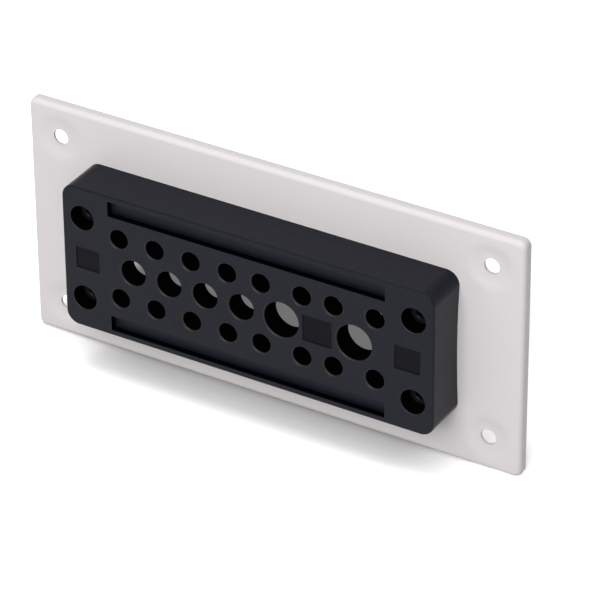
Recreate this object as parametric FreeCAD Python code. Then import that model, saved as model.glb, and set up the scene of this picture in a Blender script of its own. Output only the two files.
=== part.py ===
import FreeCAD, Part
import math
import os

# Cable entry plate: a moulded block with plain cable holes, screwed to a dished adapter plate.
# Millimetres. +Z is up, the block faces -Y and +X is to the right as seen from the front.
# The origin is amid the four panel holes, in the plane at the rear of their dimples.

# Adapter plate
PLATE_WIDTH = 194.0
PLATE_HEIGHT = 92.4
PLATE_CORNER_R = 2.8
SHEET = 1.0
RIM_DEPTH = 4.2
RIM_BEND_R = 1.9
CUTOUT_WIDTH = 112.0
CUTOUT_HEIGHT = 36.0
CUTOUT_CORNER_R = 3.0

# Panel holes: their distance in from the plate's edges, and the shallow dimples round them
PANEL_HOLE_IN = 12.55
PANEL_PITCH_X = PLATE_WIDTH - 2 * PANEL_HOLE_IN
PANEL_PITCH_Z = PLATE_HEIGHT - 2 * PANEL_HOLE_IN
PANEL_HOLE_R = 2.9
DIMPLE_DEPTH = 0.7
DIMPLE_FLOOR_R = 5.0
DIMPLE_RUN = 3.6
DIMPLE_BEND_R = 11.0

# Fixing screws, on the standard 24-pole pattern round the cut-out, and their clinch nuts
FIXING_BESIDE_CUTOUT = 9.0
FIXING_INSIDE_CUTOUT = 2.0
FIXING_PITCH_X = CUTOUT_WIDTH + 2 * FIXING_BESIDE_CUTOUT
FIXING_PITCH_Z = CUTOUT_HEIGHT - 2 * FIXING_INSIDE_CUTOUT
SCREW_R = 2.5
SCREW_LENGTH = 12.0
SCREW_TIP = 0.6
HEAD_R = 4.25
HEAD_HEIGHT = 5.0
HEAD_CHAMFER = 0.4
SOCKET_FLATS = 4.0
SOCKET_DEPTH = 2.5
HEAD_CLEARANCE = 0.45
SCREW_CLEARANCE = 0.25
HEAD_SINK = 5.5
NUT_BODY_R = 4.75
NUT_BODY_HEIGHT = 4.0
NUT_SHANK_R = 3.15
NUT_CHAMFER = 0.4
THREAD_CLEARANCE = 0.03

# Entry block: its ends stand past the fixing screws and its long walls past the cut-out
BLOCK_END = 7.95
BLOCK_WALL = 9.95
BLOCK_WIDTH = FIXING_PITCH_X + 2 * BLOCK_END
BLOCK_HEIGHT = CUTOUT_HEIGHT + 2 * BLOCK_WALL
BLOCK_DEPTH = 17.0
BLOCK_CORNER_R = 5.0
BLOCK_EDGE_R = 0.7
BLOCK_WAIST = 0.6
BLOCK_WAIST_FRONT = 0.04
WEB = 8.1
RIM_CHAMFER = 0.5

# Cable holes: radius, row height and places along the block
SMALL_R = 3.6
MEDIUM_R = 4.9
LARGE_R = 6.75
ROW_Z = 11.9
MEDIUM_PITCH = 14.4
MEDIUM_COUNT = 4
MEDIUM_FIRST_X = -44.75
SMALL_STAGGER = 5.5
LARGE_FIRST_X = 14.2
LARGE_PITCH = 28.2
LARGE_COUNT = 2
SMALL_BESIDE_LARGE = 8.0

# Long slots in the front face
SLOT_INSIDE_FIXINGS = 10.7
SLOT_LENGTH = FIXING_PITCH_X - 2 * SLOT_INSIDE_FIXINGS
SLOT_HEIGHT = 5.75
SLOT_DEPTH = 2.5
SLOT_LIP = 2.15

# Shallow bare recesses in the front face: centre along the block, width and height
MARK_DEPTH = 0.25
MARKS = (
    (-BLOCK_WIDTH / 2 + 9.85, 9.6, 8.4),
    (LARGE_FIRST_X + LARGE_PITCH / 2, 11.4, 10.2),
    (BLOCK_WIDTH / 2 - 10.05, 9.9, 9.2),
)

# Seals
SEAL_WIDTH = 2.4
SEAL_DEPTH = 1.5
SEAL_MARGIN = 1.4
PANEL_SEAL_GAP = 0.3
PANEL_SEAL_CORNER_R = 1.6
NUT_ROOM = 1.75
PANEL_SEAL_WINDOW_X = FIXING_PITCH_X + 2 * (NUT_BODY_R + NUT_ROOM)
PANEL_SEAL_WINDOW_Z = FIXING_PITCH_Z + 2 * (NUT_BODY_R + NUT_ROOM)

# Planes along Y, from the dimples' rear towards the viewer, and the enclosure wall behind
DIMPLE_REAR_Y = 0.0
DIMPLE_FLOOR_Y = DIMPLE_REAR_Y - SHEET
PLATE_FRONT_Y = DIMPLE_FLOOR_Y - DIMPLE_DEPTH
SHEET_REAR_Y = PLATE_FRONT_Y + SHEET
WALL_Y = PLATE_FRONT_Y + RIM_DEPTH
BLOCK_FRONT_Y = PLATE_FRONT_Y - BLOCK_DEPTH
WEB_REAR_Y = BLOCK_FRONT_Y + WEB
HEAD_TOP_Y = BLOCK_FRONT_Y + HEAD_SINK
HEAD_SEAT_Y = HEAD_TOP_Y + HEAD_HEIGHT
TOOL_REACH = 1.0


def vec(x, y, z):
    return FreeCAD.Vector(x, y, z)


def rounded_frame(width, height, corner_r, y):
    """Closed wire: a rounded rectangle in the XZ plane at y."""
    half_x, half_z = width / 2, height / 2
    corners = ((half_x, half_z, 0), (-half_x, half_z, 90), (-half_x, -half_z, 180), (half_x, -half_z, 270))
    edges = []
    previous = None
    first = None
    for corner_x, corner_z, start in corners:
        centre_x = corner_x - math.copysign(corner_r, corner_x)
        centre_z = corner_z - math.copysign(corner_r, corner_z)
        points = []
        for turn in (0, 45, 90):
            angle = math.radians(start + turn)
            x = centre_x + corner_r * math.cos(angle)
            points.append(vec(x, y, centre_z + corner_r * math.sin(angle)))
        if previous:
            edges.append(Part.LineSegment(previous, points[0]).toShape())
        edges.append(Part.Arc(*points).toShape())
        previous = points[2]
        first = first or points[0]
    edges.append(Part.LineSegment(previous, first).toShape())
    return Part.Wire(edges)


def rounded_block(width, height, corner_r, y_front, y_rear):
    """Rounded rectangle in XZ, extruded from y_front back to y_rear."""
    face = Part.Face(rounded_frame(width, height, corner_r, y_front))
    return face.extrude(vec(0, y_rear - y_front, 0))


def rod(x, z, radius, y_front, y_rear):
    return Part.makeCylinder(radius, y_rear - y_front, vec(x, y_front, z), vec(0, 1, 0))


def turned(x, z, profile):
    """Solid turned about the Y axis through (x, z), from (radius, y) points."""
    points = [vec(x + radius, y, z) for radius, y in profile]
    face = Part.Face(Part.makePolygon(points + points[:1]))
    return face.revolve(vec(x, 0, z), vec(0, 1, 0), 360)


def front_edges(shape, y):
    """Edges of the shape that lie wholly in the plane at y."""
    return [edge for edge in shape.Edges if all(abs(v.Y - y) < 1e-6 for v in edge.Vertexes)]


def fixing_places():
    return [(sx * FIXING_PITCH_X / 2, sz * FIXING_PITCH_Z / 2) for sx in (-1, 1) for sz in (1, -1)]


def panel_places():
    return [(sx * PANEL_PITCH_X / 2, sz * PANEL_PITCH_Z / 2) for sx in (-1, 1) for sz in (1, -1)]


def cable_holes():
    """(x, z, radius) of every cable hole."""
    holes = []
    for index in range(MEDIUM_COUNT):
        x = MEDIUM_FIRST_X + index * MEDIUM_PITCH
        holes.append((x, 0, MEDIUM_R))
        holes += [(x - SMALL_STAGGER, z, SMALL_R) for z in (ROW_Z, -ROW_Z)]
    for index in range(LARGE_COUNT):
        x = LARGE_FIRST_X + index * LARGE_PITCH
        holes.append((x, 0, LARGE_R))
        for beside in (-SMALL_BESIDE_LARGE, SMALL_BESIDE_LARGE):
            holes += [(x + beside, z, SMALL_R) for z in (ROW_Z, -ROW_Z)]
    return holes


def dish(width, height, corner_r, bend_r, y_front):
    """Solid tray shape: its front edge is rounded by bend_r and its rear is flat at the wall plane."""
    solid = rounded_block(width, height, corner_r, y_front, WALL_Y)
    return solid.makeFillet(bend_r, front_edges(solid, y_front))


def dimple(x, z, start_y, mouth_y, floor_y):
    """Turned solid: a cylinder from start_y to the mouth, then a cone down to the floor."""
    mouth_r = DIMPLE_FLOOR_R + DIMPLE_RUN
    return turned(x, z, (
        (0, start_y),
        (mouth_r, start_y),
        (mouth_r, mouth_y),
        (DIMPLE_FLOOR_R, floor_y),
        (0, floor_y),
    ))


def dimple_edges(plate):
    """The dimples' mouth and floor circles on the front of the sheet."""
    edges = []
    for y in (PLATE_FRONT_Y, DIMPLE_FLOOR_Y):
        for edge in front_edges(plate, y):
            if isinstance(edge.Curve, Part.Circle):
                centre = edge.Curve.Center
                if any(math.hypot(centre.x - x, centre.z - z) < 1e-3 for x, z in panel_places()):
                    edges.append(edge)
    return edges


def adapter_plate():
    plate = dish(PLATE_WIDTH, PLATE_HEIGHT, PLATE_CORNER_R, RIM_BEND_R, PLATE_FRONT_Y)
    hollow = dish(
        PLATE_WIDTH - 2 * SHEET,
        PLATE_HEIGHT - 2 * SHEET,
        PLATE_CORNER_R - SHEET,
        RIM_BEND_R - SHEET,
        SHEET_REAR_Y,
    )
    plate = plate.cut(hollow)
    for x, z in panel_places():
        plate = plate.fuse(dimple(x, z, PLATE_FRONT_Y, SHEET_REAR_Y, DIMPLE_REAR_Y))
        plate = plate.cut(dimple(x, z, PLATE_FRONT_Y - TOOL_REACH, PLATE_FRONT_Y, DIMPLE_FLOOR_Y))
    plate = plate.makeFillet(DIMPLE_BEND_R, dimple_edges(plate))
    for x, z in panel_places():
        plate = plate.cut(rod(x, z, PANEL_HOLE_R, PLATE_FRONT_Y - TOOL_REACH, WALL_Y + TOOL_REACH))
    window = rounded_block(
        CUTOUT_WIDTH,
        CUTOUT_HEIGHT,
        CUTOUT_CORNER_R,
        PLATE_FRONT_Y - TOOL_REACH,
        WALL_Y + TOOL_REACH,
    )
    plate = plate.cut(window)
    for x, z in fixing_places():
        plate = plate.cut(rod(x, z, NUT_SHANK_R, PLATE_FRONT_Y - TOOL_REACH, WALL_Y + TOOL_REACH))
    return plate.removeSplitter()


def cable_hole(x, z, radius):
    """Plain hole through the web with a broken edge at the front."""
    return turned(x, z, (
        (0, BLOCK_FRONT_Y - TOOL_REACH),
        (radius + RIM_CHAMFER + TOOL_REACH, BLOCK_FRONT_Y - TOOL_REACH),
        (radius, BLOCK_FRONT_Y + RIM_CHAMFER),
        (radius, WEB_REAR_Y + TOOL_REACH),
        (0, WEB_REAR_Y + TOOL_REACH),
    ))


def fixing_hole(x, z):
    """Counterbore for the screw head, and a clearance hole on through the block."""
    bore = HEAD_R + HEAD_CLEARANCE
    shank = SCREW_R + SCREW_CLEARANCE
    lip = RIM_CHAMFER / 2
    return turned(x, z, (
        (0, BLOCK_FRONT_Y - TOOL_REACH),
        (bore + lip + TOOL_REACH, BLOCK_FRONT_Y - TOOL_REACH),
        (bore, BLOCK_FRONT_Y + lip),
        (bore, HEAD_SEAT_Y),
        (shank, HEAD_SEAT_Y),
        (shank, PLATE_FRONT_Y + TOOL_REACH),
        (0, PLATE_FRONT_Y + TOOL_REACH),
    ))


def waist_cutter(side):
    """Wedge that draws the rear of one end in, most at mid height and nothing at the front."""
    half_chord = BLOCK_HEIGHT / 2 - BLOCK_CORNER_R
    end_x = side * BLOCK_WIDTH / 2

    def sliver(depth, y):
        top = vec(end_x, y, half_chord)
        bottom = vec(end_x, y, -half_chord)
        middle = vec(end_x - side * depth, y, 0)
        arc = Part.Arc(top, middle, bottom).toShape()
        outer = [vec(end_x + side * TOOL_REACH, y, z) for z in (-half_chord, half_chord)]
        lines = Part.makePolygon([bottom] + outer + [top])
        return Part.Wire([arc] + lines.Edges)

    front = sliver(BLOCK_WAIST_FRONT, BLOCK_FRONT_Y + BLOCK_EDGE_R)
    rear = sliver(BLOCK_WAIST, PLATE_FRONT_Y + TOOL_REACH)
    return Part.makeLoft([front, rear], True, True)


def seal_frame(grow, y_front, y_rear):
    """Rounded frame round the cut-out, grown by the given amount on every side."""
    width = CUTOUT_WIDTH + 2 * grow
    height = CUTOUT_HEIGHT + 2 * grow
    return rounded_block(width, height, CUTOUT_CORNER_R + grow, y_front, y_rear)


def seal_ring(y_front, y_rear):
    outer = seal_frame(SEAL_MARGIN + SEAL_WIDTH, y_front, y_rear)
    return outer.cut(seal_frame(SEAL_MARGIN, y_front, y_rear))


def entry_block():
    block = rounded_block(BLOCK_WIDTH, BLOCK_HEIGHT, BLOCK_CORNER_R, BLOCK_FRONT_Y, PLATE_FRONT_Y)
    block = block.makeFillet(BLOCK_EDGE_R, front_edges(block, BLOCK_FRONT_Y))
    for side in (-1, 1):
        block = block.cut(waist_cutter(side))
    block = block.cut(seal_frame(0, WEB_REAR_Y, PLATE_FRONT_Y + TOOL_REACH))
    for x, z, radius in cable_holes():
        block = block.cut(cable_hole(x, z, radius))
    for x, z in fixing_places():
        block = block.cut(fixing_hole(x, z))
    slot_z = BLOCK_HEIGHT / 2 - SLOT_LIP - SLOT_HEIGHT
    for z in (slot_z, -slot_z - SLOT_HEIGHT):
        corner = vec(-SLOT_LENGTH / 2, BLOCK_FRONT_Y - TOOL_REACH, z)
        block = block.cut(Part.makeBox(SLOT_LENGTH, TOOL_REACH + SLOT_DEPTH, SLOT_HEIGHT, corner))
    for x, width, height in MARKS:
        corner = vec(x - width / 2, BLOCK_FRONT_Y - TOOL_REACH, -height / 2)
        block = block.cut(Part.makeBox(width, TOOL_REACH + MARK_DEPTH, height, corner))
    return block.cut(seal_ring(PLATE_FRONT_Y - SEAL_DEPTH, PLATE_FRONT_Y + TOOL_REACH))


def block_seal():
    return seal_ring(PLATE_FRONT_Y - SEAL_DEPTH, PLATE_FRONT_Y)


def panel_seal():
    """Die-cut foam sheet inside the rim, with a window for the block's nuts and holes for the dimples."""
    inset = 2 * (RIM_BEND_R + PANEL_SEAL_GAP)
    front = SHEET_REAR_Y
    seal = rounded_block(PLATE_WIDTH - inset, PLATE_HEIGHT - inset, PANEL_SEAL_CORNER_R, front, WALL_Y)
    seal = seal.cut(rounded_block(
        PANEL_SEAL_WINDOW_X,
        PANEL_SEAL_WINDOW_Z,
        CUTOUT_CORNER_R,
        front - TOOL_REACH,
        WALL_Y + TOOL_REACH,
    ))
    hole_r = DIMPLE_FLOOR_R + DIMPLE_RUN + PANEL_SEAL_GAP
    for x, z in panel_places():
        seal = seal.cut(rod(x, z, hole_r, front - TOOL_REACH, WALL_Y + TOOL_REACH))
    return seal


def hexagon_pocket(x, z, y_front, y_rear):
    corner_r = SOCKET_FLATS / 2 / math.cos(math.pi / 6)
    angles = [math.radians(60 * step) for step in range(6)]
    points = [vec(x + corner_r * math.cos(a), y_front, z + corner_r * math.sin(a)) for a in angles]
    face = Part.Face(Part.makePolygon(points + points[:1]))
    return face.extrude(vec(0, y_rear - y_front, 0))


def fixing_screw(x, z):
    tip_y = HEAD_SEAT_Y + SCREW_LENGTH
    screw = turned(x, z, (
        (0, HEAD_TOP_Y),
        (HEAD_R - HEAD_CHAMFER, HEAD_TOP_Y),
        (HEAD_R, HEAD_TOP_Y + HEAD_CHAMFER),
        (HEAD_R, HEAD_SEAT_Y),
        (SCREW_R, HEAD_SEAT_Y),
        (SCREW_R, tip_y - SCREW_TIP),
        (SCREW_R - SCREW_TIP, tip_y),
        (0, tip_y),
    ))
    return screw.cut(hexagon_pocket(x, z, HEAD_TOP_Y - TOOL_REACH, HEAD_TOP_Y + SOCKET_DEPTH))


def press_nut(x, z):
    """Clinch nut: its shank fills the sheet's hole and its body stands behind the sheet."""
    bore = SCREW_R + THREAD_CLEARANCE
    rear_y = SHEET_REAR_Y + NUT_BODY_HEIGHT
    return turned(x, z, (
        (bore, PLATE_FRONT_Y),
        (NUT_SHANK_R, PLATE_FRONT_Y),
        (NUT_SHANK_R, SHEET_REAR_Y),
        (NUT_BODY_R, SHEET_REAR_Y),
        (NUT_BODY_R, rear_y - NUT_CHAMFER),
        (NUT_BODY_R - NUT_CHAMFER, rear_y),
        (bore, rear_y),
    ))


def save(name, shape):
    solid = shape.Solids[0] if len(shape.Solids) == 1 else shape
    print(name, len(shape.Solids), "solid", shape.isValid(), round(shape.Volume, 1), "mm3")
    solid.exportStep("parts/" + name + ".step")


os.makedirs("parts", exist_ok=True)
save("adapter_plate", adapter_plate())
save("entry_block", entry_block())
save("block_seal", block_seal())
save("panel_seal", panel_seal())
for number, (fixing_x, fixing_z) in enumerate(fixing_places(), 1):
    save("fixing_screw_" + str(number), fixing_screw(fixing_x, fixing_z))
    save("press_nut_" + str(number), press_nut(fixing_x, fixing_z))
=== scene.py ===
import math

import bpy
from mathutils import Matrix, Vector


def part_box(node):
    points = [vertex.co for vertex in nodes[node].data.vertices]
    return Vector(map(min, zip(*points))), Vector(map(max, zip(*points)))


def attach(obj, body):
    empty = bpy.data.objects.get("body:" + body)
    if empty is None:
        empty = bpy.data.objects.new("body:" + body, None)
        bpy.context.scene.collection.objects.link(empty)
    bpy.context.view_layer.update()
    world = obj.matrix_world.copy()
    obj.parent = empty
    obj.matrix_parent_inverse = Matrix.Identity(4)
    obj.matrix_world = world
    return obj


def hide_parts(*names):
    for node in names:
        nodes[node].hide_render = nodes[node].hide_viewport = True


# A moulded cable entry block on a dished, powder-coated adapter plate, standing on a pale floor.
# Metres throughout. +Z is up, the block faces -Y and +X is to the right.

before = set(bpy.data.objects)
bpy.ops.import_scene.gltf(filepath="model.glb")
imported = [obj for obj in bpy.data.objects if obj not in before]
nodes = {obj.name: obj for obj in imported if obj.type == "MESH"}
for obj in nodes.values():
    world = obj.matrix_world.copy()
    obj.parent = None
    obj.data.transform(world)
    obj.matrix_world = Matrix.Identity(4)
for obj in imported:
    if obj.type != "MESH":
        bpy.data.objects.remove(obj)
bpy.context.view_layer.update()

MM = 0.001
BODY = "root"

# The four fixing screws and their nuts, by number
FIXINGS = (1, 2, 3, 4)

# The photograph's camera: turned to the object's right, looking down, with a long lens.
# Its aim is measured in the picture's own directions from the middle of the block's front.
CAMERA_TURN = math.radians(31.03)
CAMERA_TILT = math.radians(32.18)
CAMERA_ROLL = math.radians(0.48)
CAMERA_DISTANCE = 1.374
CAMERA_LENS = 244.7
CAMERA_SENSOR = 36.0
AIM_RIGHT = 18.66 * MM
AIM_UP = 3.05 * MM

# The rounding that the mould leaves, and what counts as a sharp edge, a flat face and one point
MOULDED_EDGE = 0.22 * MM
EDGE_SEGMENTS = 2
SHARP_EDGE = math.radians(30)
FLAT_ANGLE = math.radians(0.5)
MERGE = 0.001 * MM

# The M5 socket cap screws: a knurled head, a hexagon socket with a broken mouth, and a rolled thread
HEAD_DEPTH = 5.0 * MM
HEAD_CHAMFER = 0.35 * MM
KNURLS = 44
KNURL_DEPTH = 0.12 * MM
SOCKET_ACROSS = 4.0 * MM
SOCKET_DEPTH = 2.5 * MM
MOUTH_RADIUS = 2.45 * MM
MOUTH_DEPTH = 0.3 * MM
MOUTH_SIDES = 48
THREAD_RADIUS = 2.5 * MM
THREAD_ROOT = 2.04 * MM
THREAD_PITCH = 0.8 * MM
THREAD_STEPS = 36
SPARE_TURNS = 2

# One turn of the thread's outline: the distance from the axis, and how far along the pitch
THREAD_OUTLINE = (
    (THREAD_ROOT, 0.0), (THREAD_ROOT, 0.12), (THREAD_RADIUS, 0.44),
    (THREAD_RADIUS, 0.56), (THREAD_ROOT, 0.88), (THREAD_ROOT, 1.0),
)

# Telling the block's cored walls, broken edges and bare recesses from its eroded faces. The plain numbers
# are how far a face turns to the front, from 0 for a wall to 1 for the front itself.
OUTER_SKIN = 1.5 * MM
CORE_WALL = 0.5
CORE_START = 0.3 * MM
CHAMFER_WALL = 0.85
CHAMFER_REACH = 0.6 * MM
MARK_DEPTH = 0.25 * MM
MARK_SLACK = MARK_DEPTH / 4
FACING_FRONT = 0.99

# Where the fixing screws and nuts stand, either side of the middle
FIXING_X = (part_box("fixing_screw_3")[0].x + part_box("fixing_screw_3")[1].x) / 2
FIXING_Z = (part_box("fixing_screw_3")[0].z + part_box("fixing_screw_3")[1].z) / 2

# The floor throws back a plain grey, and looks FLOOR_SEEN times as bright where it is seen. Between the
# two distances it fades to plain white.
FLOOR_SIZE = 6.0
FLOOR_GREY = "B6B6B6"
FLOOR_SEEN = 3.9
FADE_START = 0.25
FADE_END = 0.60

# The shadow painted into the floor behind the plate and at its foot. Each pair gives where a shade is gone
# and where it is full.
SHADE_DEPTH = 0.838
SHADE_LEFT = (-101 * MM, -84 * MM)
SHADE_RIGHT = (72 * MM, 14 * MM)
SHADE_NEAR = (-2 * MM, 6 * MM)
SHADE_FAR = (118 * MM, 62 * MM)
FOOT_SHADE = 0.71
FOOT_FALL = 1.15
FOOT_REACH = 29 * MM
FOOT_BEHIND = 2.5
FOOT_LEFT = (-128 * MM, -48 * MM)
FOOT_RIGHT = (94 * MM, 50 * MM)

# The lamps: power in watts, place, and width and height
WORLD_LIGHT = 0.32
KEY_POWER = 35.0
KEY_PLACE = (0.32, -1.82, 1.05)
KEY_SIZE = (1.4, 1.1)
OVERHEAD_POWER = 6.4
OVERHEAD_PLACE = (-0.22, -0.05, 1.35)
OVERHEAD_SIZE = (0.8, 0.6)

# The Mix node's colour sockets, by number, because its other sockets have the same names
COLOUR_A = 6
COLOUR_B = 7
MIXED_COLOUR = 2


# Small tools for nodes and colours

def linear(text):
    """sRGB hex to a linear colour with alpha."""
    values = [int(text[i:i + 2], 16) / 255 for i in (0, 2, 4)]
    return [v / 12.92 if v <= 0.04045 else ((v + 0.055) / 1.055) ** 2.4 for v in values] + [1.0]


def per_mm(size):
    """Texture scale at which one feature is this many millimetres across."""
    return 1 / (size * MM)


def add(tree, kind, inputs=None, **settings):
    """Adds a node. Of its inputs, a socket is linked, a node by its first output, and the rest are set."""
    node = tree.nodes.new(kind)
    for name, value in settings.items():
        setattr(node, name, value)
    for name, value in (inputs or {}).items():
        if isinstance(value, bpy.types.Node):
            value = value.outputs[0]
        if isinstance(value, bpy.types.NodeSocket):
            tree.links.new(value, node.inputs[name])
        else:
            node.inputs[name].default_value = value
    return node


def new_material(name):
    """An empty material, its node tree and object coordinates."""
    material = bpy.data.materials.new(name)
    material.use_nodes = True
    tree = material.node_tree
    tree.nodes.clear()
    return material, tree, add(tree, "ShaderNodeTexCoord").outputs["Object"]


def about_fixings(tree, place):
    """Folds the four fixing places onto one, with the screw's axis at the origin."""
    folded = add(tree, "ShaderNodeVectorMath", {0: place}, operation="ABSOLUTE")
    return add(tree, "ShaderNodeVectorMath", {0: folded, 1: (FIXING_X, 0, FIXING_Z)}, operation="SUBTRACT")


# Materials

def powder_coated_steel():
    """Light grey polyester powder on steel sheet: satin, a faint orange peel, and a fine even grain."""
    material, tree, place = new_material("powder_coated_steel")
    peel = add(tree, "ShaderNodeTexNoise", {"Vector": place, "Scale": per_mm(1.6), "Detail": 1.0})
    grain = add(tree, "ShaderNodeTexNoise", {"Vector": place, "Scale": per_mm(0.3), "Detail": 2.0})
    cloud = add(tree, "ShaderNodeTexNoise", {"Vector": place, "Scale": per_mm(38.0), "Detail": 2.0})
    peeled = add(tree, "ShaderNodeBump", {"Height": peel, "Strength": 0.10, "Distance": 0.05 * MM})
    surface = add(tree, "ShaderNodeBump", {
        "Height": grain, "Strength": 0.12, "Distance": 0.01 * MM, "Normal": peeled,
    })
    colour = add(tree, "ShaderNodeMix", {
        "Factor": cloud, COLOUR_A: linear("D5D1D2"), COLOUR_B: linear("DBD7D8"),
    }, data_type="RGBA")
    shader = add(tree, "ShaderNodeBsdfPrincipled", {
        "Base Color": colour.outputs[MIXED_COLOUR],
        "Roughness": add(tree, "ShaderNodeMapRange", {"Value": grain, "To Min": 0.40, "To Max": 0.50}),
        "IOR": 1.5,
        "Specular IOR Level": 0.15,
        "Normal": surface,
    })
    add(tree, "ShaderNodeOutputMaterial", {"Surface": shader})
    return material


def glass_filled_polyamide():
    """Black glass-filled polyamide from a finely eroded mould: satin, with a faint flow mottle."""
    material, tree, place = new_material("glass_filled_polyamide")
    # The eroded texture is really about 0.1 mm across, and is drawn coarser so that it shows
    grit = add(tree, "ShaderNodeTexNoise", {
        "Vector": place, "Scale": per_mm(0.55), "Detail": 3.0, "Roughness": 0.6,
    })
    mottle = add(tree, "ShaderNodeTexNoise", {"Vector": place, "Scale": per_mm(3.5), "Detail": 3.0})
    flow = add(tree, "ShaderNodeTexNoise", {"Vector": place, "Scale": per_mm(26.0), "Detail": 2.0})
    colour = add(tree, "ShaderNodeMix", {
        "Factor": mottle, COLOUR_A: linear("04060F"), COLOUR_B: linear("0F121E"),
    }, data_type="RGBA")
    shader = add(tree, "ShaderNodeBsdfPrincipled", {
        "Base Color": colour.outputs[MIXED_COLOUR],
        "Roughness": add(tree, "ShaderNodeMapRange", {"Value": flow, "To Min": 0.44, "To Max": 0.54}),
        "IOR": 1.53,
        "Specular IOR Level": 0.12,
        "Sheen Weight": 0.26,
        "Sheen Roughness": 0.30,
        "Normal": add(tree, "ShaderNodeBump", {"Height": grit, "Strength": 0.55, "Distance": 0.03 * MM}),
    })
    add(tree, "ShaderNodeOutputMaterial", {"Surface": shader})
    return material


def polished_polyamide(name, dark, light, specular):
    """The same polyamide off polished steel, smoother than the eroded faces. The walls of holes and slots get
    near-black colours and no gloss from it, a painted shade.
    """
    material, tree, place = new_material(name)
    swirl = add(tree, "ShaderNodeTexNoise", {"Vector": place, "Scale": per_mm(5.0), "Detail": 2.0})
    ripple = add(tree, "ShaderNodeTexNoise", {"Vector": place, "Scale": per_mm(1.4), "Detail": 2.0})
    colour = add(tree, "ShaderNodeMix", {
        "Factor": swirl, COLOUR_A: linear(dark), COLOUR_B: linear(light),
    }, data_type="RGBA")
    shader = add(tree, "ShaderNodeBsdfPrincipled", {
        "Base Color": colour.outputs[MIXED_COLOUR],
        "Roughness": add(tree, "ShaderNodeMapRange", {"Value": swirl, "To Min": 0.46, "To Max": 0.56}),
        "IOR": 1.53,
        "Specular IOR Level": specular,
        "Normal": add(tree, "ShaderNodeBump", {"Height": ripple, "Strength": 0.15, "Distance": 0.02 * MM}),
    })
    add(tree, "ShaderNodeOutputMaterial", {"Surface": shader})
    return material


def moulded_elastomer():
    """Black sealing elastomer: matt, with a bloom that lifts its high spots a little."""
    material, tree, place = new_material("moulded_elastomer")
    bloom = add(tree, "ShaderNodeTexNoise", {"Vector": place, "Scale": per_mm(1.2), "Detail": 3.0})
    colour = add(tree, "ShaderNodeMix", {
        "Factor": bloom, COLOUR_A: linear("1B1B1C"), COLOUR_B: linear("262627"),
    }, data_type="RGBA")
    shader = add(tree, "ShaderNodeBsdfPrincipled", {
        "Base Color": colour.outputs[MIXED_COLOUR],
        "Roughness": add(tree, "ShaderNodeMapRange", {"Value": bloom, "To Min": 0.68, "To Max": 0.82}),
        "IOR": 1.5,
        "Normal": add(tree, "ShaderNodeBump", {"Height": bloom, "Strength": 0.3, "Distance": 0.03 * MM}),
    })
    add(tree, "ShaderNodeOutputMaterial", {"Surface": shader})
    return material


def closed_cell_foam():
    """Dark closed-cell foam sheet: dry and matt, pitted all over by its small round cells."""
    material, tree, place = new_material("closed_cell_foam")
    cells = add(tree, "ShaderNodeTexVoronoi", {"Vector": place, "Scale": per_mm(0.8), "Randomness": 1.0})
    cloud = add(tree, "ShaderNodeTexNoise", {"Vector": place, "Scale": per_mm(9.0), "Detail": 2.0})
    colour = add(tree, "ShaderNodeMix", {
        "Factor": cells, COLOUR_A: linear("2A2B2D"), COLOUR_B: linear("3B3C3E"),
    }, data_type="RGBA")
    shader = add(tree, "ShaderNodeBsdfPrincipled", {
        "Base Color": colour.outputs[MIXED_COLOUR],
        "Roughness": add(tree, "ShaderNodeMapRange", {"Value": cloud, "To Min": 0.86, "To Max": 0.96}),
        "IOR": 1.45,
        "Normal": add(tree, "ShaderNodeBump", {"Height": cells, "Strength": 0.6, "Distance": 0.15 * MM}),
    })
    add(tree, "ShaderNodeOutputMaterial", {"Surface": shader})
    return material


def turned_metal(name, dark, light, metallic, smoothest, roughest, tool_mark):
    """Metal turned on a lathe: rings round the screw's axis, tool_mark millimetres wide, under its finish."""
    material, tree, place = new_material(name)
    rings = add(tree, "ShaderNodeTexWave", {
        "Vector": about_fixings(tree, place), "Scale": per_mm(tool_mark) / (2 * math.pi),
        "Distortion": 0.6, "Detail": 1.0,
    }, wave_type="RINGS", rings_direction="Y").outputs["Fac"]
    patches = add(tree, "ShaderNodeTexNoise", {"Vector": place, "Scale": per_mm(1.8), "Detail": 3.0})
    colour = add(tree, "ShaderNodeMix", {
        "Factor": patches, COLOUR_A: linear(dark), COLOUR_B: linear(light),
    }, data_type="RGBA")
    shader = add(tree, "ShaderNodeBsdfPrincipled", {
        "Base Color": colour.outputs[MIXED_COLOUR],
        "Metallic": metallic,
        "Roughness": add(tree, "ShaderNodeMapRange", {
            "Value": patches, "To Min": smoothest, "To Max": roughest,
        }),
        "Normal": add(tree, "ShaderNodeBump", {"Height": rings, "Strength": 0.25, "Distance": 0.01 * MM}),
    })
    add(tree, "ShaderNodeOutputMaterial", {"Surface": shader})
    return material


def black_oxide_steel():
    """Alloy steel screws with a black oxide film: a dark, soft metal sheen."""
    return turned_metal("black_oxide_steel", "131315", "1E1E20", 0.85, 0.48, 0.60, 0.22)


def zinc_plated_steel():
    """Bright zinc on turned steel: pale and slightly blue."""
    return turned_metal("zinc_plated_steel", "B4B9C1", "D2D5D9", 1.0, 0.24, 0.36, 0.25)


# Pieces

def select_only(piece):
    bpy.ops.object.select_all(action="DESELECT")
    piece.select_set(True)
    bpy.context.view_layer.objects.active = piece


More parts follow.
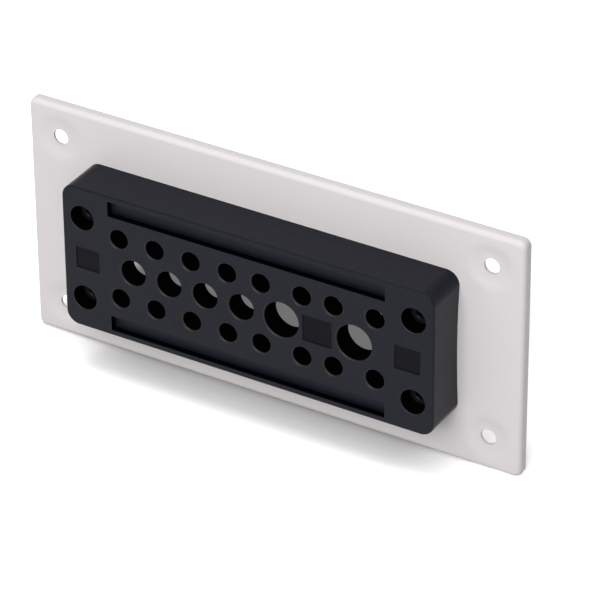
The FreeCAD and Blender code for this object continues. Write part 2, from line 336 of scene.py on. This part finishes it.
def merged_copy(node_name, name):
    """A new object with a CAD node's form, its loose triangles joined into whole faces."""
    piece = bpy.data.objects.new(name, nodes[node_name].data.copy())
    bpy.context.scene.collection.objects.link(piece)
    piece.data.materials.clear()
    select_only(piece)
    bpy.ops.object.mode_set(mode="EDIT")
    bpy.ops.mesh.select_all(action="SELECT")
    bpy.ops.mesh.customdata_custom_splitnormals_clear()
    bpy.ops.mesh.remove_doubles(threshold=MERGE)
    bpy.ops.mesh.dissolve_limited(angle_limit=FLAT_ANGLE)
    bpy.ops.object.mode_set(mode="OBJECT")
    return piece


def soften(piece, width):
    """Rounds every sharp edge and smooths the faces between them."""
    select_only(piece)
    bevel = piece.modifiers.new("soft_edges", "BEVEL")
    bevel.width = width
    bevel.segments = EDGE_SEGMENTS
    bevel.limit_method = "ANGLE"
    bevel.angle_limit = SHARP_EDGE
    bevel.use_clamp_overlap = True
    bpy.ops.object.modifier_apply(modifier=bevel.name)
    bpy.ops.object.shade_smooth_by_angle(angle=SHARP_EDGE)
    normals = piece.modifiers.new("flat_faces", "WEIGHTED_NORMAL")
    normals.keep_sharp = True
    bpy.ops.object.modifier_apply(modifier=normals.name)


def inside_outline(face, low, high):
    """True for a face that lies well inside the block's outline, seen from the front."""
    centre = face.center
    across = low.x + OUTER_SKIN < centre.x < high.x - OUTER_SKIN
    return across and low.z + OUTER_SKIN < centre.z < high.z - OUTER_SKIN


def cored_out(face, low, high):
    """True for a wall that a core pin or slot core leaves: square to the front and inside the outline."""
    is_wall = abs(face.normal.y) < CORE_WALL and face.center.y > low.y + CORE_START
    return is_wall and inside_outline(face, low, high)


def on_chamfer(face, low, high):
    """True for the broken edge round a hole in the front."""
    is_slanted = CORE_WALL < -face.normal.y < CHAMFER_WALL and face.center.y < low.y + CHAMFER_REACH
    return is_slanted and inside_outline(face, low, high)


def in_mark(face, low):
    """True for the bare floor of a shallow recess in the front."""
    return abs(face.center.y - low.y - MARK_DEPTH) < MARK_SLACK and face.normal.y < -FACING_FRONT


def moulded_block(eroded, painted_shade_walls, bare, trimmed):
    """The entry block as moulded: every edge a little rounded, its holes and slots off polished cores, their
    walls given a painted shade.
    """
    block = merged_copy("entry_block", "moulded_block")
    soften(block, MOULDED_EDGE)
    for material in (eroded, painted_shade_walls, bare, trimmed):
        block.data.materials.append(material)
    low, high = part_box("entry_block")
    for face in block.data.polygons:
        # Cored walls take the near-black, glossless material: a painted shade inside holes and slots
        if cored_out(face, low, high):
            face.material_index = 1
        elif in_mark(face, low):
            face.material_index = 2
        elif on_chamfer(face, low, high):
            face.material_index = 3
    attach(block, BODY)
    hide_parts("entry_block")


def cut_away(piece, cutter):
    """Takes one closed shape out of another."""
    select_only(piece)
    cut = piece.modifiers.new("cut", "BOOLEAN")
    cut.operation = "DIFFERENCE"
    cut.solver = "EXACT"
    cut.object = cutter
    bpy.ops.object.modifier_apply(modifier=cut.name)
    bpy.data.objects.remove(cutter)


def socket_head(radius):
    """The screw's head, standing on its underside: a knurled side, and a hexagon socket in its top."""
    side = HEAD_DEPTH - HEAD_CHAMFER
    bpy.ops.object.select_all(action="DESELECT")
    bpy.ops.mesh.primitive_cylinder_add(
        vertices=2 * KNURLS, radius=radius, depth=side, location=(0, 0, side / 2))
    head = bpy.context.object
    bpy.ops.object.transform_apply(location=True)
    step = math.pi / KNURLS
    for vertex in head.data.vertices:
        vertex.select = round(math.atan2(vertex.co.x, vertex.co.y) / step) % 2 == 1
    bpy.ops.object.mode_set(mode="EDIT")
    bpy.ops.mesh.select_mode(type="VERT")
    bpy.ops.transform.resize(value=(1 - KNURL_DEPTH / radius, 1 - KNURL_DEPTH / radius, 1))
    bpy.ops.mesh.select_all(action="DESELECT")
    bpy.ops.object.mode_set(mode="OBJECT")
    for face in head.data.polygons:
        face.select = face.normal.z > FACING_FRONT
    bpy.ops.object.mode_set(mode="EDIT")
    bpy.ops.mesh.select_mode(type="FACE")
    bpy.ops.mesh.extrude_region_move(TRANSFORM_OT_translate={"value": (0, 0, HEAD_CHAMFER)})
    bpy.ops.transform.resize(value=(1 - HEAD_CHAMFER / radius, 1 - HEAD_CHAMFER / radius, 1))
    bpy.ops.object.mode_set(mode="OBJECT")
    bpy.ops.mesh.primitive_cylinder_add(
        vertices=6, radius=SOCKET_ACROSS / math.sqrt(3), depth=2 * SOCKET_DEPTH, location=(0, 0, HEAD_DEPTH))
    cut_away(head, bpy.context.object)
    past = 2 * MOUTH_DEPTH
    bpy.ops.mesh.primitive_cone_add(
        vertices=MOUTH_SIDES, radius1=MOUTH_RADIUS - past, radius2=MOUTH_RADIUS + past, depth=2 * past,
        location=(0, 0, HEAD_DEPTH), rotation=(0, 0, math.pi / MOUTH_SIDES))
    cut_away(head, bpy.context.object)
    return head


def rolled_thread(length):
    """The screw's thread below its head: one turn's outline, wound and cut square at both ends."""
    lowest = -length - SPARE_TURNS * THREAD_PITCH
    bpy.ops.object.select_all(action="DESELECT")
    bpy.ops.mesh.primitive_plane_add(size=THREAD_PITCH, location=(THREAD_ROOT, 0, lowest))
    thread = bpy.context.object
    bpy.ops.object.transform_apply(location=True)
    bpy.ops.object.mode_set(mode="EDIT")
    bpy.ops.mesh.select_mode(type="VERT")
    bpy.ops.mesh.merge(type="CENTER")
    for (radius, part), (next_radius, next_part) in zip(THREAD_OUTLINE, THREAD_OUTLINE[1:]):
        step = (next_radius - radius, 0, (next_part - part) * THREAD_PITCH)
        bpy.ops.mesh.extrude_region_move(TRANSFORM_OT_translate={"value": step})
    bpy.ops.object.mode_set(mode="OBJECT")
    wind = thread.modifiers.new("winding", "SCREW")
    wind.screw_offset = THREAD_PITCH
    wind.iterations = math.ceil(length / THREAD_PITCH) + 2 * SPARE_TURNS
    wind.steps = wind.render_steps = THREAD_STEPS
    bpy.ops.object.modifier_apply(modifier=wind.name)
    bpy.ops.object.mode_set(mode="EDIT")
    bpy.ops.mesh.select_all(action="SELECT")
    bpy.ops.mesh.remove_doubles(threshold=MERGE)
    bpy.ops.mesh.bisect(
        plane_co=(0, 0, -length), plane_no=(0, 0, 1), use_fill=True, clear_inner=True, threshold=MERGE)
    bpy.ops.mesh.select_all(action="SELECT")
    bpy.ops.mesh.bisect(
        plane_co=(0, 0, HEAD_CHAMFER), plane_no=(0, 0, 1), use_fill=True, clear_outer=True, threshold=MERGE)
    bpy.ops.mesh.select_all(action="SELECT")
    bpy.ops.mesh.normals_make_consistent(inside=False)
    bpy.ops.object.mode_set(mode="OBJECT")
    return thread


def socket_cap_screws(material):
    """Four screws, each in the place of its CAD node, copied from one."""
    low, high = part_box("fixing_screw_1")
    head = socket_head((high.x - low.x) / 2)
    thread = rolled_thread(high.y - low.y - HEAD_DEPTH)
    select_only(head)
    thread.select_set(True)
    bpy.ops.object.join()
    bpy.ops.object.shade_smooth_by_angle(angle=SHARP_EDGE)
    head.data.materials.clear()
    head.data.materials.append(material)
    for number in FIXINGS:
        low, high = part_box(f"fixing_screw_{number}")
        screw = bpy.data.objects.new(f"socket_cap_screw_{number}", head.data.copy())
        bpy.context.scene.collection.objects.link(screw)
        under_head = Vector(((low.x + high.x) / 2, low.y + HEAD_DEPTH, (low.z + high.z) / 2))
        screw.data.transform(Matrix.Translation(under_head) @ Matrix.Rotation(math.pi / 2, 4, "X"))
        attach(screw, BODY)
        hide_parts(f"fixing_screw_{number}")
    bpy.data.objects.remove(head)


def dress(node_name, material):
    """Gives a CAD node its finish."""
    piece = nodes[node_name]
    piece.data.materials.clear()
    piece.data.materials.append(material)


# Stage

def between(tree, value, rise, fall):
    """1 amid two soft edges and 0 beyond them. An edge is a pair: where it is 0, and where it is 1."""
    edges = []
    for gone, full in (rise, fall):
        edges.append(add(tree, "ShaderNodeMapRange", {
            "Value": value, "From Min": gone, "From Max": full,
        }, interpolation_type="SMOOTHSTEP"))
    return add(tree, "ShaderNodeMath", {0: edges[0], 1: edges[1]}, operation="MULTIPLY")


def painted_shade_behind(tree, place):
    """A soft painted shadow on the floor behind the plate, darkening the floor's own colour."""
    axes = add(tree, "ShaderNodeSeparateXYZ", {"Vector": place}).outputs
    across = between(tree, axes["X"], SHADE_LEFT, SHADE_RIGHT)
    back = between(tree, axes["Y"], SHADE_NEAR, SHADE_FAR)
    patch = add(tree, "ShaderNodeMath", {0: across, 1: back}, operation="MULTIPLY")
    return add(tree, "ShaderNodeMath", {0: patch, 1: SHADE_DEPTH}, operation="MULTIPLY")


def painted_shade_at_foot(tree, place):
    """A closer painted shadow along the plate's foot, gone within FOOT_REACH in front and sooner behind."""
    axes = add(tree, "ShaderNodeSeparateXYZ", {"Vector": place}).outputs
    behind = add(tree, "ShaderNodeMath", {0: axes["Y"], 1: FOOT_BEHIND}, operation="MULTIPLY")
    in_front = add(tree, "ShaderNodeMath", {0: axes["Y"], 1: -1.0}, operation="MULTIPLY")
    apart = add(tree, "ShaderNodeMath", {0: behind, 1: in_front}, operation="MAXIMUM")
    near = add(tree, "ShaderNodeMapRange", {"Value": apart, "From Min": FOOT_REACH, "From Max": 0.0})
    falling = add(tree, "ShaderNodeMath", {0: near, 1: FOOT_FALL}, operation="POWER")
    along = between(tree, axes["X"], FOOT_LEFT, FOOT_RIGHT)
    strip = add(tree, "ShaderNodeMath", {0: falling, 1: along}, operation="MULTIPLY")
    return add(tree, "ShaderNodeMath", {0: strip, 1: FOOT_SHADE}, operation="MULTIPLY")


def seen_directly(tree):
    """1 for what the eye sees, straight on or in a gloss or glass, and 0 for light that lands elsewhere."""
    rays = add(tree, "ShaderNodeLightPath").outputs
    seen = add(tree, "ShaderNodeMath", {
        0: rays["Is Camera Ray"], 1: rays["Is Glossy Ray"],
    }, operation="MAXIMUM")
    return add(tree, "ShaderNodeMath", {0: seen, 1: rays["Is Transmission Ray"]}, operation="MAXIMUM")


def floor():
    """A pale floor that reads as white, its own soft shadow at the object's foot deepened by painted shade
    there and behind the plate, and plain white far off.
    """
    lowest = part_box("adapter_plate")[0].z
    bpy.ops.mesh.primitive_plane_add(size=FLOOR_SIZE, location=(0, 0, lowest))
    plane = bpy.context.object
    plane.name = "floor"
    material, tree, place = new_material("pale_floor")
    seen = seen_directly(tree)
    gain = add(tree, "ShaderNodeMapRange", {"Value": seen, "To Min": 1.0, "To Max": FLOOR_SEEN})
    # The painted shadow: the floor's colour darkened behind the plate and along its foot
    shade = add(tree, "ShaderNodeMath", {
        0: painted_shade_behind(tree, place), 1: painted_shade_at_foot(tree, place),
    }, operation="MAXIMUM")
    left = add(tree, "ShaderNodeMapRange", {"Value": shade, "To Min": 1.0, "To Max": 0.0})
    level = add(tree, "ShaderNodeMath", {0: gain, 1: left}, operation="MULTIPLY")
    colour = add(tree, "ShaderNodeVectorMath", {0: linear(FLOOR_GREY)[:3], "Scale": level}, operation="SCALE")
    near = add(tree, "ShaderNodeBsdfDiffuse", {"Color": colour})
    far = add(tree, "ShaderNodeEmission", {"Color": (1, 1, 1, 1), "Strength": 1.0})
    away = add(tree, "ShaderNodeVectorMath", {0: place}, operation="LENGTH").outputs["Value"]
    faded = add(tree, "ShaderNodeMapRange", {
        "Value": away, "From Min": FADE_START, "From Max": FADE_END,
    }, interpolation_type="SMOOTHSTEP")
    whiten = add(tree, "ShaderNodeMath", {0: faded, 1: seen}, operation="MULTIPLY")
    shader = add(tree, "ShaderNodeMixShader", {0: whiten, 1: near, 2: far})
    add(tree, "ShaderNodeOutputMaterial", {"Surface": shader})
    plane.data.materials.append(material)


def softbox(name, power, place, size):
    """A rectangular lamp that faces the object."""
    data = bpy.data.lights.new(name, "AREA")
    data.energy = power
    data.shape = "RECTANGLE"
    data.size, data.size_y = size
    light = bpy.data.objects.new(name, data)
    light.location = place
    light.rotation_euler = (-Vector(place)).to_track_quat("-Z", "Y").to_euler()
    bpy.context.scene.collection.objects.link(light)


def light_the_stage():
    """A soft dome, a large key softbox in front and a smaller one overhead."""
    world = bpy.data.worlds.new("soft_dome")
    bpy.context.scene.world = world
    world.use_nodes = True
    tree = world.node_tree
    tree.nodes.clear()
    strength = add(tree, "ShaderNodeMapRange", {
        "Value": seen_directly(tree), "To Min": WORLD_LIGHT, "To Max": 1.0,
    })
    background = add(tree, "ShaderNodeBackground", {"Color": (1, 1, 1, 1), "Strength": strength})
    add(tree, "ShaderNodeOutputWorld", {"Surface": background})
    softbox("overhead_softbox", OVERHEAD_POWER, OVERHEAD_PLACE, OVERHEAD_SIZE)
    softbox("key_softbox", KEY_POWER, KEY_PLACE, KEY_SIZE)


def place_camera():
    """The photograph's camera, aimed from the middle of the block's front."""
    data = bpy.data.cameras.new("camera")
    data.lens = CAMERA_LENS
    data.sensor_width = CAMERA_SENSOR
    camera = bpy.data.objects.new("camera", data)
    bpy.context.scene.collection.objects.link(camera)
    turn = Matrix.Rotation(CAMERA_TURN, 4, "Z") @ Matrix.Rotation(math.pi / 2 - CAMERA_TILT, 4, "X")
    turn = turn @ Matrix.Rotation(-CAMERA_ROLL, 4, "Z")
    right, up, back = (turn.col[i].to_3d() for i in range(3))
    block_low, block_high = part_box("entry_block")
    front_centre = Vector((0, block_low.y, (block_low.z + block_high.z) / 2))
    aim = front_centre + right * AIM_RIGHT + up * AIM_UP
    camera.matrix_world = Matrix.Translation(aim + back * CAMERA_DISTANCE) @ turn
    bpy.context.scene.camera = camera


# The whole scene

place_camera()
light_the_stage()
floor()

# Near black and without gloss: a painted shade on the walls inside holes and slots
painted_shade_walls = polished_polyamide("core_walls_painted_shade", "030304", "060608", 0.0)
bare = polished_polyamide("insert_polished_polyamide", "040409", "07070D", 0.06)
trimmed = polished_polyamide("edge_polished_polyamide", "09090F", "0D0D14", 0.26)
moulded_block(glass_filled_polyamide(), painted_shade_walls, bare, trimmed)
dress("adapter_plate", powder_coated_steel())
dress("block_seal", moulded_elastomer())
dress("panel_seal", closed_cell_foam())
zinc = zinc_plated_steel()
for number in FIXINGS:
    dress(f"press_nut_{number}", zinc)
socket_cap_screws(black_oxide_steel())

bpy.context.scene.view_settings.view_transform = "Standard"
